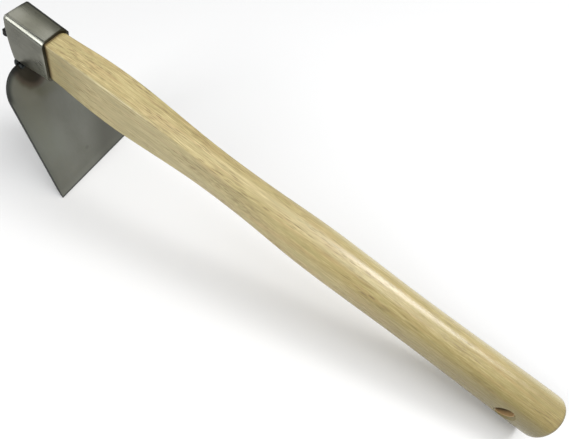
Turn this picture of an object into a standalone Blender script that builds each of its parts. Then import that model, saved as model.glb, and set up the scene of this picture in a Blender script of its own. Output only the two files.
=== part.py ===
"""Short-handled garden hoe: a wooden handle wedged in a steel collar, with a blade welded under the collar.

All sizes are in metres. Every piece is modelled in the hoe's own frame: X runs along the handle from the head
to the butt, Y runs across it, and Z = 0 is the collar's flat top. An empty then tips the whole hoe so that it
stands on its cutting edge and on the underside of its butt.
"""
import math

import bmesh
import bpy
from mathutils import Vector

# Clearance between pieces that touch on the real hoe
GAP = 0.0003

# Collar: a band of sheet steel, bent square, taller at the head than at its mouth, with both ends slanting
COLLAR_LENGTH = 0.0306
COLLAR_WIDTH = 0.0210
COLLAR_HEAD_HEIGHT = 0.0354
COLLAR_MOUTH_HEIGHT = 0.0310
COLLAR_WALL = 0.0020
COLLAR_BEND = 0.0032
HEAD_TOP_LEAD = 0.0008
HEAD_BOTTOM_SETBACK = 0.0029
MOUTH_TOP_SETBACK = 0.0034

# Handle: squarish in the collar, narrow at the waist, round in the grip
HANDLE_LENGTH = 0.4055
HEAD_RECESS = 0.0006
SHOULDER_AT = 0.0700
SHOULDER_HALF_WIDTH = 0.0095
SHOULDER_HALF_HEIGHT = 0.0155
SHOULDER_AXIS = -0.0149
WAIST_AT = 0.1450
WAIST_HALF_WIDTH = 0.0098
WAIST_HALF_HEIGHT = 0.0140
WAIST_AXIS = -0.0141
SWELL_AT = 0.2250
SWELL_HALF_WIDTH = 0.0151
SWELL_HALF_HEIGHT = 0.0151
SWELL_AXIS = -0.0146
GRIP_AT = 0.3000
GRIP_RADIUS = 0.0148
GRIP_AXIS = -0.0150
BUTT_RADIUS = 0.0157
WOOD_CORNER = 0.0012
ROUNDING_STARTS_AT = 0.0750
ROUNDING_ENDS_AT = 0.2100
BUTT_ROUNDING = 0.0016
HOLE_DIAMETER = 0.0098
HOLE_FROM_BUTT = 0.0250
HOLE_CHAMFER = 0.0010

# Blade: flat plate that leans towards the grip, with round shoulders and a straight cutting edge
BLADE_LENGTH = 0.0935
BLADE_LEAN = math.radians(38.9)
BLADE_THICKNESS = 0.0018
EDGE_WIDTH = 0.0812
NECK_FLAT_WIDTH = 0.0236
SHOULDER_RADIUS = 0.0195
BEVEL_LENGTH = 0.0070
EDGE_THICKNESS = 0.0004

# Weld beads along both sides of the joint between collar and blade
BEAD_LEG_ON_BLADE = 0.0034
BEAD_LEG_ON_COLLAR = 0.0026
BEAD_OVERHANG = 0.0010
BEAD_BULGE = 0.0009
RIPPLE_PITCH = 0.0024
RIPPLE_DEPTH = 0.10
BEAD_END_SIZE = 0.60

# Iron wedge driven into a kerf across the handle's head end
WEDGE_LENGTH = 0.0270
WEDGE_SIDE_CLEARANCE = 0.0006
WEDGE_HEAD_THICKNESS = 0.0044
WEDGE_TIP_THICKNESS = 0.0010
WEDGE_STANDS_OUT = 0.0064
WEDGE_HEIGHT = -0.0162

# Fineness of the meshes
FLAT_STEPS = 4
CORNER_STEPS = 4
RING_SPACING = 0.0100
ROUNDING_STEPS = 3
HOLE_SEGMENTS = 24
SHOULDER_SEGMENTS = 14
BEAD_STEPS_PER_RIPPLE = 3
BEAD_BOW_STEPS = 4
HARD_EDGE = math.radians(35)


def clear_scene():
    for obj in list(bpy.data.objects):
        bpy.data.objects.remove(obj)


def material(name, colour, roughness, metallic):
    """A plain Principled material with one colour."""
    surface = bpy.data.materials.new(name)
    surface.use_nodes = True
    shader = surface.node_tree.nodes["Principled BSDF"]
    shader.inputs["Base Color"].default_value = (*colour, 1.0)
    shader.inputs["Roughness"].default_value = roughness
    shader.inputs["Metallic"].default_value = metallic
    surface.diffuse_color = (*colour, 1.0)
    return surface


def piece(name, build, surface, parent):
    """Make one object from a function that fills a bmesh, with its faces turned outwards."""
    mesh = bpy.data.meshes.new(name)
    work = bmesh.new()
    build(work)
    bmesh.ops.recalc_face_normals(work, faces=work.faces)
    work.to_mesh(mesh)
    work.free()
    mesh.materials.append(surface)
    mesh.shade_smooth()
    mesh.set_sharp_from_angle(angle=HARD_EDGE)
    obj = bpy.data.objects.new(name, mesh)
    bpy.context.collection.objects.link(obj)
    obj.parent = parent
    return obj


def cut(target, name, build, parent):
    """Subtract a hidden cutter from the target."""
    cutter = piece(name, build, target.data.materials[0], parent)
    cutter.hide_render = True
    cutter.display_type = "WIRE"
    boolean = target.modifiers.new(name, "BOOLEAN")
    boolean.operation = "DIFFERENCE"
    boolean.solver = "EXACT"
    boolean.object = cutter


def bridge(work, rings, close_ends):
    """Join a row of equal vertex rings with quads; with close_ends, cap the first and the last ring."""
    rows = [[work.verts.new(point) for point in ring] for ring in rings]
    for near, far in zip(rows, rows[1:]):
        for i in range(len(near)):
            j = (i + 1) % len(near)
            work.faces.new((near[i], near[j], far[j], far[i]))
    if close_ends:
        work.faces.new(rows[0])
        work.faces.new(reversed(rows[-1]))
    return rows


def mix(a, b, share):
    return a + (b - a) * share


def ease(value, start, end):
    """Smooth step from 0 at start to 1 at end."""
    share = min(max((value - start) / (end - start), 0.0), 1.0)
    return share * share * (3.0 - 2.0 * share)


def square_ring(half_width, half_height, corner):
    """Rounded rectangle about (0, 0) as (y, z) pairs, each quadrant split into flat, corner and flat."""
    quadrant = []
    for i in range(FLAT_STEPS):
        quadrant.append((half_width, (half_height - corner) * i / FLAT_STEPS))
    for i in range(CORNER_STEPS + 1):
        turn = math.pi / 2 * i / CORNER_STEPS
        y = half_width - corner + corner * math.cos(turn)
        z = half_height - corner + corner * math.sin(turn)
        quadrant.append((y, z))
    for i in range(1, FLAT_STEPS):
        quadrant.append(((half_width - corner) * (1 - i / FLAT_STEPS), half_height))
    top = (0.0, half_height)
    side = (half_width, 0.0)
    right_top = quadrant[1:]
    left_top = [(-y, z) for y, z in reversed(right_top)]
    upper = [side, *right_top, top, *left_top, (-half_width, 0.0)]
    lower = [(-y, -z) for y, z in upper[1:-1]]
    return upper + lower


# The collar's outline and everything that fits inside it

def collar_height_at(x):
    return mix(COLLAR_HEAD_HEIGHT, COLLAR_MOUTH_HEIGHT, x / COLLAR_LENGTH)


def head_plane_at(z):
    """X of the slanting head end at height z."""
    return mix(-HEAD_TOP_LEAD, HEAD_BOTTOM_SETBACK, -z / COLLAR_HEAD_HEIGHT)


def mouth_plane_at(z):
    """X of the slanting mouth at height z."""
    return mix(COLLAR_LENGTH - MOUTH_TOP_SETBACK, COLLAR_LENGTH, -z / COLLAR_MOUTH_HEIGHT)


def sleeve_ring(x, inset, corner):
    """Section of the collar's outline at x, moved inwards by inset."""
    height = collar_height_at(x)
    half_width = COLLAR_WIDTH / 2 - inset
    half_height = height / 2 - inset
    return [(y, z - height / 2) for y, z in square_ring(half_width, half_height, corner)]


def sleeve_cut(plane_at, inset, corner, recess=0.0):
    """The same section where a slanting plane cuts it, with the plane set back by recess."""
    front = sleeve_ring(0.0, inset, corner)
    back = sleeve_ring(COLLAR_LENGTH, inset, corner)
    ring = []
    for (y0, z0), (y1, z1) in zip(front, back):
        slope = (plane_at(z1) - plane_at(z0)) / COLLAR_LENGTH
        x = (plane_at(z0) + recess) / (1.0 - slope)
        share = x / COLLAR_LENGTH
        ring.append(Vector((x, mix(y0, y1, share), mix(z0, z1, share))))
    return ring


def build_collar(work):
    """A square tube: outer skin, inner skin and the two cut ends between them."""
    inner_corner = COLLAR_BEND - COLLAR_WALL
    loops = [
        sleeve_cut(head_plane_at, 0.0, COLLAR_BEND),
        sleeve_cut(mouth_plane_at, 0.0, COLLAR_BEND),
        sleeve_cut(mouth_plane_at, COLLAR_WALL, inner_corner),
        sleeve_cut(head_plane_at, COLLAR_WALL, inner_corner),
    ]
    rows = bridge(work, loops, close_ends=False)
    first, last = rows[0], rows[-1]
    for i in range(len(first)):
        j = (i + 1) % len(first)
        work.faces.new((last[i], last[j], first[j], first[i]))


# The handle

def handle_stations():
    """(x, half width, half height, axis height) where the handle's outline changes, mouth first."""
    fit = COLLAR_WALL + GAP
    mouth_half_width = COLLAR_WIDTH / 2 - fit
    mouth_half_height = COLLAR_MOUTH_HEIGHT / 2 - fit
    return [
        (COLLAR_LENGTH, mouth_half_width, mouth_half_height, -COLLAR_MOUTH_HEIGHT / 2),
        (SHOULDER_AT, SHOULDER_HALF_WIDTH, SHOULDER_HALF_HEIGHT, SHOULDER_AXIS),
        (WAIST_AT, WAIST_HALF_WIDTH, WAIST_HALF_HEIGHT, WAIST_AXIS),
        (SWELL_AT, SWELL_HALF_WIDTH, SWELL_HALF_HEIGHT, SWELL_AXIS),
        (GRIP_AT, GRIP_RADIUS, GRIP_RADIUS, GRIP_AXIS),
        (HANDLE_LENGTH, BUTT_RADIUS, BUTT_RADIUS, GRIP_AXIS),
    ]


def flow(stations, x, column):
    """Smooth curve through one column of the stations, level where the grip begins and at the butt."""
    xs = [row[0] for row in stations]
    values = [row[column] for row in stations]
    slopes = [(values[1] - values[0]) / (xs[1] - xs[0])]
    for i in range(1, len(xs) - 2):
        slopes.append((values[i + 1] - values[i - 1]) / (xs[i + 1] - xs[i - 1]))
    slopes += [0.0, 0.0]
    i = max(k for k in range(len(xs) - 1) if xs[k] <= x)
    span = xs[i + 1] - xs[i]
    t = (x - xs[i]) / span
    start = values[i] * (1 + 2 * t) * (1 - t) ** 2 + slopes[i] * span * t * (1 - t) ** 2
    end = values[i + 1] * t * t * (3 - 2 * t) - slopes[i + 1] * span * t * t * (1 - t)
    return start + end


def handle_ring(x, inset=0.0):
    """Section of the handle beyond the collar: square turning into round, moved inwards by inset."""
    stations = handle_stations()
    half_width = flow(stations, x, 1) - inset
    half_height = flow(stations, x, 2) - inset
    axis = flow(stations, x, 3)
    roundness = ease(x, ROUNDING_STARTS_AT, ROUNDING_ENDS_AT)
    ring = []
    for y, z in square_ring(half_width, half_height, WOOD_CORNER):
        turn = math.atan2(z / half_height, y / half_width)
        round_y = half_width * math.cos(turn)
        round_z = half_height * math.sin(turn)
        ring.append(Vector((x, mix(y, round_y, roundness), axis + mix(z, round_z, roundness))))
    return ring


def build_handle(work):
    fit = COLLAR_WALL + GAP
    rings = [sleeve_cut(head_plane_at, fit, WOOD_CORNER, HEAD_RECESS)]
    end = HANDLE_LENGTH - BUTT_ROUNDING
    count = max(2, round((end - COLLAR_LENGTH) / RING_SPACING))
    for i in range(count + 1):
        rings.append(handle_ring(mix(COLLAR_LENGTH, end, i / count)))
    for i in range(1, ROUNDING_STEPS + 1):
        turn = math.pi / 2 * i / ROUNDING_STEPS
        x = end + BUTT_ROUNDING * math.sin(turn)
        rings.append(handle_ring(x, BUTT_ROUNDING * (1 - math.cos(turn))))
    bridge(work, rings, close_ends=True)


def hole_centre():
    return Vector((HANDLE_LENGTH - HOLE_FROM_BUTT, 0.0, GRIP_AXIS))


def build_hanging_hole(work):
    """Drill across the grip, flared where it meets the wood's surface."""
    centre = hole_centre()
    radius = HOLE_DIAMETER / 2
    flare_from = BUTT_RADIUS - 2 * HOLE_CHAMFER
    reach = BUTT_RADIUS + 2 * HOLE_CHAMFER
    flared = radius + 2 * HOLE_CHAMFER
    rings = []
    for y, ring_radius in ((-reach, flared), (-flare_from, radius), (flare_from, radius), (reach, flared)):
        ring = []
        for i in range(HOLE_SEGMENTS):
            turn = 2 * math.pi * i / HOLE_SEGMENTS
            ring.append(centre + Vector((ring_radius * math.cos(turn), y, ring_radius * math.sin(turn))))
        rings.append(ring)
    bridge(work, rings, close_ends=True)


# The wedge and its kerf

def wedge_rings(half_width, growth):
    """Two rectangles, head and tip, each grown by growth."""
    head_x = head_plane_at(WEDGE_HEIGHT) - WEDGE_STANDS_OUT
    tip_x = head_x + WEDGE_LENGTH
    rings = []
    for x, thickness in ((head_x, WEDGE_HEAD_THICKNESS), (tip_x + growth, WEDGE_TIP_THICKNESS)):
        half = thickness / 2 + growth
        corners = ((-half_width, -half), (half_width, -half), (half_width, half), (-half_width, half))
        rings.append([Vector((x, y, WEDGE_HEIGHT + z)) for y, z in corners])
    return rings


def build_wedge(work):
    half_width = COLLAR_WIDTH / 2 - COLLAR_WALL - WEDGE_SIDE_CLEARANCE
    bridge(work, wedge_rings(half_width, 0.0), close_ends=True)


def build_kerf(work):
    bridge(work, wedge_rings(COLLAR_WIDTH / 2, GAP), close_ends=True)


# The blade, drawn in its own plane: p across, q down from its top, n towards the grip

def blade_down():
    return Vector((math.sin(BLADE_LEAN), 0.0, -math.cos(BLADE_LEAN)))


def blade_inward():
    return Vector((math.cos(BLADE_LEAN), 0.0, math.sin(BLADE_LEAN)))


def collar_sole():
    """Direction of the collar's underside towards the grip."""
    return Vector((COLLAR_LENGTH, 0.0, COLLAR_HEAD_HEIGHT - COLLAR_MOUTH_HEIGHT)).normalized()


def collar_front_corner():
    """Where the slanting head end meets the collar's underside."""
    front = sleeve_cut(head_plane_at, 0.0, COLLAR_BEND)
    return Vector(min(((point.x, 0.0, point.z) for point in front), key=lambda spot: spot[2]))


def blade_origin():
    """Top of the blade's outer face, flush with the collar's head end and a gap below its underside."""
    sole = collar_sole()
    below = Vector((sole.z, 0.0, -sole.x))
    corner = collar_front_corner()
    inner_top_height = blade_inward().dot(-below) * BLADE_THICKNESS
    drop = (GAP + max(0.0, inner_top_height)) / blade_down().dot(below)
    return corner + blade_down() * drop


def blade_point(p, q, n):
    """Place a point of the blade; n is 0 on the outer face and BLADE_THICKNESS on the inner face."""
    return blade_origin() + blade_down() * q + blade_inward() * n + Vector((0.0, p, 0.0))


def blade_half_outline():
    """(p, q) points of the far half, from the neck over the shoulder and down the straight side."""
    centre = Vector((NECK_FLAT_WIDTH / 2, SHOULDER_RADIUS))
    corner = Vector((EDGE_WIDTH / 2, BLADE_LENGTH))
    to_centre = centre - corner
    distance = to_centre.length
    along = math.sqrt(distance ** 2 - SHOULDER_RADIUS ** 2)
    swing = math.asin(SHOULDER_RADIUS / distance)
    heading = math.atan2(to_centre.y, to_centre.x) + swing
    touch = corner + Vector((math.cos(heading), math.sin(heading))) * along
    last = math.atan2(touch.y - centre.y, touch.x - centre.x)
    points = []
    for i in range(SHOULDER_SEGMENTS + 1):
        turn = mix(-math.pi / 2, last, i / SHOULDER_SEGMENTS)
        points.append(centre + Vector((math.cos(turn), math.sin(turn))) * SHOULDER_RADIUS)
    bevel_share = BEVEL_LENGTH / (corner.y - touch.y)
    points.append(corner + (touch - corner) * bevel_share)
    points.append(corner)
    return points


def build_blade(work):
    half = blade_half_outline()
    outline = half + [Vector((-spot.x, spot.y)) for spot in reversed(half)]
    inner = [work.verts.new(blade_point(spot.x, spot.y, BLADE_THICKNESS)) for spot in outline]
    edge_corners = (len(half) - 1, len(half))
    outer = []
    for i, spot in enumerate(outline):
        depth = BLADE_THICKNESS - EDGE_THICKNESS if i in edge_corners else 0.0
        outer.append(work.verts.new(blade_point(spot.x, spot.y, depth)))
    count = len(outline)
    for i in range(count):
        j = (i + 1) % count
        work.faces.new((inner[i], inner[j], outer[j], outer[i]))
    work.faces.new(inner)
    before_edge = len(half) - 2
    after_edge = before_edge + 3
    work.faces.new(outer[before_edge:after_edge + 1])
    work.faces.new(outer[:before_edge + 1] + outer[after_edge:])


# The weld beads

def meet(point_a, along_a, point_b, along_b):
    """Point where two lines in the XZ plane cross."""
    cross = along_a.x * along_b.z - along_a.z * along_b.x
    offset = point_b - point_a
    share = (offset.x * along_b.z - offset.z * along_b.x) / cross
    return point_a + along_a * share


def bead_builder(corner, to_collar, to_blade, outward):
    """Bead along Y where two faces meet, bowed outwards and rippled by swelling about their corner."""
    top = to_collar * BEAD_LEG_ON_COLLAR
    foot = to_blade * BEAD_LEG_ON_BLADE
    middle = (top + foot) / 2
    crown = outward * (max(0.0, middle.dot(outward)) + BEAD_BULGE)
    pull = crown * 2 - middle
    bow = [Vector((0.0, 0.0, 0.0)), top]
    for i in range(1, BEAD_BOW_STEPS):
        share = i / BEAD_BOW_STEPS
        bow.append(top * (1 - share) ** 2 + pull * 2 * share * (1 - share) + foot * share ** 2)
    bow.append(foot)
    half_length = COLLAR_WIDTH / 2 + BEAD_OVERHANG
    ripples = max(1, round(2 * half_length / RIPPLE_PITCH))
    steps = ripples * BEAD_STEPS_PER_RIPPLE

    def build(work):
        rings = []
        for i in range(steps + 1):
            share = i / steps
            swell = 1.0 - RIPPLE_DEPTH * abs(math.cos(math.pi * share * ripples))
            end_taper = mix(BEAD_END_SIZE, 1.0, min(1.0, min(i, steps - i) / BEAD_STEPS_PER_RIPPLE))
            y = mix(-half_length, half_length, share)
            offsets = [spot * swell * end_taper for spot in bow]
            rings.append([corner + spot + Vector((0.0, y, 0.0)) for spot in offsets])
        bridge(work, rings, close_ends=True)

    return build


def front_bead():
    """Over the seam on the head side, against the collar's cut end and the blade's outer face."""
    up = Vector((-HEAD_TOP_LEAD - HEAD_BOTTOM_SETBACK, 0.0, COLLAR_HEAD_HEIGHT)).normalized()
    down = blade_down()
    forward = Vector((-up.z, 0.0, up.x))
    outer_face = blade_origin() - blade_inward() * GAP
    corner = meet(collar_front_corner() + forward * GAP, up, outer_face, down)
    return bead_builder(corner, up, down, -(up + down).normalized())


def back_bead():
    """In the corner on the grip side, against the collar's underside and the blade's inner face."""
    sole = collar_sole()
    below = Vector((sole.z, 0.0, -sole.x))
    down = blade_down()
    inner_face = blade_origin() + blade_inward() * (BLADE_THICKNESS + GAP)
    corner = meet(collar_front_corner() + below * GAP, sole, inner_face, down)
    return bead_builder(corner, sole, down, (sole + down).normalized())


# Standing the hoe on the ground

def resting_tilt():
    """Turn about Y that puts the cutting edge and the butt's rounded rim on one level."""
    rim = Vector((HANDLE_LENGTH - BUTT_ROUNDING, 0.0, GRIP_AXIS - BUTT_RADIUS + BUTT_ROUNDING))
    tilts = []
    for n in (BLADE_THICKNESS - EDGE_THICKNESS, BLADE_THICKNESS):
        reach = rim - blade_point(0.0, BLADE_LENGTH, n)
        tilts.append(math.atan2(reach.z, reach.x) - math.asin(BUTT_ROUNDING / reach.length))
    return max(tilts)


def stand_on_ground(root, objects):
    """Tip the hoe, then put the middle of its underside on the origin."""
    root.rotation_euler = (0.0, resting_tilt(), 0.0)
    bpy.context.view_layer.update()
    corners = [obj.matrix_world @ vertex.co for obj in objects for vertex in obj.data.vertices]
    middle = (min(spot.x for spot in corners) + max(spot.x for spot in corners)) / 2
    root.location = (-middle, 0.0, -min(spot.z for spot in corners))
    bpy.context.view_layer.update()


def main():
    clear_scene()
    wood = material("wood", (0.62, 0.47, 0.25), 0.42, 0.0)
    steel = material("brushed_steel", (0.30, 0.29, 0.26), 0.38, 1.0)
    weld = material("weld_steel", (0.06, 0.055, 0.05), 0.6, 1.0)
    iron = material("black_iron", (0.03, 0.03, 0.03), 0.7, 1.0)
    root = bpy.data.objects.new("hoe", None)
    bpy.context.collection.objects.link(root)
    handle = piece("handle", build_handle, wood, root)
    pieces = [
        handle,
        piece("collar", build_collar, steel, root),
        piece("blade", build_blade, steel, root),
        piece("weld_bead_front", front_bead(), weld, root),
        piece("weld_bead_back", back_bead(), weld, root),
        piece("wedge", build_wedge, iron, root),
    ]
    cut(handle, "hanging_hole", build_hanging_hole, root)
    cut(handle, "kerf", build_kerf, root)
    stand_on_ground(root, pieces)


main()
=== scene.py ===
"""Short garden hoe, finished for close looks: lacquered wood, bent sheet steel, a ground blade,
two welds and an iron wedge.

Metres throughout. Pieces are modelled in the hoe's own frame, with X along the handle from head
to butt, Y across it with the near side negative, and Z = 0 on the collar's flat top. They are
then tipped so that the hoe stands on its cutting edge and its butt.
"""
import math

import bmesh
import bpy
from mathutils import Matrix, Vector


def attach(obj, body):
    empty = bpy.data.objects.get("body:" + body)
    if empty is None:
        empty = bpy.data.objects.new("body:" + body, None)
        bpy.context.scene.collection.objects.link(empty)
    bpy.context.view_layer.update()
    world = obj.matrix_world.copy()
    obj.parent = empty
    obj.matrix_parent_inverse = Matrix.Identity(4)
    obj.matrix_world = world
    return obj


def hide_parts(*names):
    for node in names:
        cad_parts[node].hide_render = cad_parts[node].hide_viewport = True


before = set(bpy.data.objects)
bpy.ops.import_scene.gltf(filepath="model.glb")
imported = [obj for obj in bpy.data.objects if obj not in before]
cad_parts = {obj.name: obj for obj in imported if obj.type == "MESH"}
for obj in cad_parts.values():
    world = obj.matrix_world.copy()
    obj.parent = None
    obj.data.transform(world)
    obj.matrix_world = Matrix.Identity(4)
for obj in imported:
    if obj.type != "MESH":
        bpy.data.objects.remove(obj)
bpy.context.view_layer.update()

# How the hoe stands: turn about Y, then shift
REST_TILT = math.radians(12.786202)
REST_SHIFT = (-0.1929016, 0.0, 0.1193670)

# Two places closer than this are one place, and a level is met within a hair. An edge or a
# face counts as lying along an axis if most of it does.
SAME_PLACE = 1e-6
HAIR = 1e-5
MOSTLY = 0.9
LENGTHWAYS, ACROSS = 0, 1

# Collar
COLLAR_LENGTH = 0.0306
COLLAR_WIDTH = 0.0210
COLLAR_HEAD_HEIGHT = 0.0354
COLLAR_MOUTH_HEIGHT = 0.0310
COLLAR_WALL = 0.0020
COLLAR_BEND = 0.0032
COLLAR_BEND_STEPS = 8
COLLAR_CUTS_UP = 11
COLLAR_CUTS_ALONG = 15
COLLAR_CROWN = 0.00022
HEAD_BEND = 0.0026
HEAD_TOP_LEAD = 0.0008
HEAD_BOTTOM_SETBACK = 0.0029
HEAD_SKEW = 0.0007
HEAD_EDGE_BOW = 0.0011
MOUTH_BEND = 0.0038
MOUTH_TOP_SETBACK = 0.0034
MOUTH_SLANT = MOUTH_TOP_SETBACK / COLLAR_MOUTH_HEIGHT
MOUTH_SKEW = 0.0003
FAR_CORNER_STANDS_ON = 0.0023
FAR_CORNER_FROM = 0.0045
FAR_CORNER_FULL = 0.0088
BENDING_MARK_SIZE = 0.016
BENDING_MARK_DEPTH = 0.00025
BENDING_MARK_LEVEL = 1.05
SHEARED_EDGE_RADIUS = 0.00035

# Handle
HANDLE_LENGTH = 0.4055
HEAD_RECESS = 0.0006
FIT = 0.0003
STATIONS = (
    # x, half width, half height, axis height
    (0.0700, 0.0095, 0.0155, -0.0149),
    (0.1450, 0.0098, 0.0140, -0.0141),
    (0.2250, 0.0151, 0.0151, -0.0146),
    (0.3000, 0.0148, 0.0148, -0.0150),
    (HANDLE_LENGTH, 0.0157, 0.0157, -0.0150),
)
GRIP_AXIS = -0.0150
BLANK_START = -0.006
WOOD_CORNER = 0.0008
WOOD_CORNER_STEPS = 4
WOOD_SIDE_CUTS = 11
RING_SPACING = 0.0050
ROUNDING_STARTS_AT = 0.0750
ROUNDING_ENDS_AT = 0.2100
BUTT_RADIUS = 0.0157
BUTT_ROUNDING = 0.0016
BUTT_ROUNDING_STEPS = 3
BUTT_INSET = 0.0012
HOLE_X = HANDLE_LENGTH - 0.0250
HOLE_RADIUS = 0.0049
HOLE_FLARE = 0.0010
HOLE_SIDES = 64

# Blade
BLADE_LENGTH = 0.0935
BLADE_LEAN = math.radians(38.9)
BLADE_THICKNESS = 0.0018
BLADE_TOP = (0.003748, -0.036093)
EDGE_WIDTH = 0.0812
EDGE_THICKNESS = 0.0004
BEVEL_LENGTH = 0.0070
NECK_FLAT_WIDTH = 0.0236
SHOULDER_RADIUS = 0.0195
SHOULDER_STEPS = 24
BLADE_EDGE_WEAR = 0.0002

# Wedge
WEDGE_HEIGHT = -0.0162
WEDGE_LENGTH = 0.0270
WEDGE_HALF_WIDTH = 0.0079
WEDGE_HEAD_THICKNESS = 0.0044
WEDGE_TIP_THICKNESS = 0.0010
WEDGE_STANDS_OUT = 0.0064
WEDGE_CUTS_ALONG = 11
WEDGE_CUTS_ACROSS = 7
WEDGE_EDGE_WEAR = 0.0005
STRUCK_HEAD = (
    # reach from the head end, growth across, growth in thickness
    (0.0055, 1.05, 1.06),
    (0.0032, 1.16, 1.10),
    (0.0010, 1.00, 0.96),
)
HAMMER_MARK_SIZE = 0.0032
HAMMER_MARK_DEPTH = 0.0007
HAMMER_MARK_LEVEL = 0.62

# Weld beads
BEADS = (
    # name, CAD node, axis in the XZ plane, half sizes about it
    ("weld_front", "weld_bead_front", (0.0030, -0.0358), (0.0016, 0.0030)),
    ("weld_back", "weld_bead_back", (0.0064, -0.0362), (0.0021, 0.0014)),
)
BEAD_HALF_LENGTH = COLLAR_WIDTH / 2 + 0.0006
BEAD_SIDES = 12
BEAD_START_SIZE = 0.5
BEAD_RIPPLES = 9
# Steps along one ripple: share of its length, and size there
BEAD_GROOVE = (0.12, 0.82)
BEAD_SWELLS = ((0.30, 1.12), (0.30, 0.98), (0.28, 0.90))
BEAD_UNEVENNESS = 0.07
BEAD_WAVE = 2.4
# The tip: share of a ripple's length, and growth from the last size
BEAD_TIP = (0.15, 0.55)

# Camera, as fitted to the outlines
FRAME_WIDTH = 569
SENSOR_WIDTH = 36.0
FOCAL_PIXELS = 460.16
CENTRE_OFFSET = (-78.80, 28.47)
CAMERA_PLACE = (0.029112, -0.158104, 0.302294)
CAMERA_TURN = (27.6759, -3.7465, 32.9329)

# Studio
FLOOR_SPAN = 12
FLOOR_PAPER = (0.90, 0.90, 0.90)
SKY = (0.98, 0.99, 1.0, 1.0)
SKY_STRENGTH = 0.31
LAMPS = (
    # name, place, aim, size, watts
    ("key_softbox", (0.45, 0.10, 1.15), (0.02, 0.0, 0.05), (1.20, 0.80), 7.8),
    ("collar_softbox", (-0.52, 0.44, 0.96), (-0.18, 0.0, 0.11), (0.50, 0.30), 0.9),
    ("grip_lamp", (0.75, 0.62, 0.94), (0.12, 0.0, 0.05), (0.42, 0.42), 5.2),
    ("near_lamp", (-0.43, -0.74, 0.74), (-0.10, 0.0, 0.08), (0.40, 0.60), 4.9),
)


# Modelling by hand: small steps that the pieces share

def deselect_objects():
    for obj in list(bpy.context.selected_objects):
        obj.select_set(False)


def only(obj):
    """Make obj the one selected and active object."""
    deselect_objects()
    obj.select_set(True)
    bpy.context.view_layer.objects.active = obj


def settle(obj):
    """Put the object's place, turn and scale into its mesh."""
    only(obj)
    bpy.ops.object.transform_apply(location=True, rotation=True, scale=True)


def edit(obj):
    only(obj)
    bpy.ops.object.mode_set(mode="EDIT")


def start(name, spans=(1.0, 1.0, 1.0)):
    """Name the primitive just added, give it its spans, settle it and open it for editing."""
    obj = bpy.context.active_object
    obj.name = name
    obj.data.name = name
    obj.scale = spans
    settle(obj)
    edit(obj)
    return obj


def add_box(name, low, high):
    deselect_objects()
    middle = [(a + b) / 2 for a, b in zip(low, high)]
    spans = [b - a for a, b in zip(low, high)]
    bpy.ops.mesh.primitive_cube_add(size=1, location=middle)
    return start(name, spans)


def editing():
    return bmesh.from_edit_mesh(bpy.context.edit_object.data)


def choose(kind, wanted):
    """Select in edit mode the corners, edges or faces that wanted() accepts."""
    bpy.ops.mesh.select_mode(type=kind)
    bpy.ops.mesh.select_all(action="DESELECT")
    mesh = editing()
    for item in {"VERT": mesh.verts, "EDGE": mesh.edges, "FACE": mesh.faces}[kind]:
        if wanted(item):
            item.select_set(True)
    bmesh.update_edit_mesh(bpy.context.edit_object.data)


def choose_all(kind):
    bpy.ops.mesh.select_mode(type=kind)
    bpy.ops.mesh.select_all(action="SELECT")


def runs(edge, axis):
    """Whether the edge runs along the axis, or nearly so."""
    span = edge.verts[1].co - edge.verts[0].co
    return span.length > 0 and abs(span[axis]) > MOSTLY * span.length


def cut_edges(axis, cuts):
    """Cut every edge that runs along the axis into equal parts."""
    choose("EDGE", lambda edge: runs(edge, axis))
    bpy.ops.mesh.subdivide(number_cuts=cuts)


def move(x=0.0, y=0.0, z=0.0):
    bpy.ops.transform.translate(value=(x, y, z))


def push(wanted, **by):
    """Move the corners whose places wanted() accepts."""
    choose("VERT", lambda vert: wanted(vert.co))
    move(**by)


def draw_out(x=0.0, y=0.0, z=0.0):
    """Extrude what is selected."""
    bpy.ops.mesh.extrude_region_move(TRANSFORM_OT_translate={"value": (x, y, z)})


def resize(growth, about):
    bpy.ops.transform.resize(value=growth, center_override=about)


def finish_editing(obj):
    """Turn the faces outwards and leave edit mode."""
    choose_all("FACE")
    bpy.ops.mesh.normals_make_consistent(inside=False)
    bpy.ops.object.mode_set(mode="OBJECT")
    only(obj)


def modify(obj, kind, **settings):
    """Add a modifier and apply it."""
    only(obj)
    modifier = obj.modifiers.new(kind.title(), kind)
    for name, value in settings.items():
        setattr(modifier, name, value)
    bpy.ops.object.modifier_apply(modifier=modifier.name)


def smooth_over(obj, levels):
    modify(obj, "SUBSURF", levels=levels, render_levels=levels)


def round_edges(obj, width, steps, sharper_than=30):
    modify(obj, "BEVEL", width=width, segments=steps, limit_method="ANGLE",
           angle_limit=math.radians(sharper_than))


def mark_surface(obj, name, size, depth, level):
    """Dent the surface unevenly. The level is the strength of a mark that moves nothing."""
    marks = bpy.data.textures.new(name, "CLOUDS")
    marks.noise_scale = size
    modify(obj, "DISPLACE", texture=marks, strength=depth, mid_level=level)


def carve(obj, cutter):
    """Cut cutter out of obj, then throw the cutter away."""
    modify(obj, "BOOLEAN", operation="DIFFERENCE", solver="EXACT", object=cutter)
    bpy.data.objects.remove(cutter)


def stand(obj):
    """Tip a piece from the hoe's own frame to where it stands."""
    obj.rotation_euler = (0.0, REST_TILT, 0.0)
    obj.location = REST_SHIFT
    settle(obj)


def hand_over(obj, finish, node, smooth_angle):
    """Shade, stand and finish a piece, and hide the CAD node that it replaces."""
    only(obj)
    bpy.ops.object.shade_smooth_by_angle(angle=math.radians(smooth_angle))
    stand(obj)
    obj.data.materials.clear()
    obj.data.materials.append(finish)
    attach(obj, "root")
    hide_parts(node)


# Shapes that several pieces follow

def mix(a, b, share):
    return a + (b - a) * share


def ease(value, low, high):
    share = min(max((value - low) / (high - low), 0.0), 1.0)
    return share * share * (3.0 - 2.0 * share)


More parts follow.
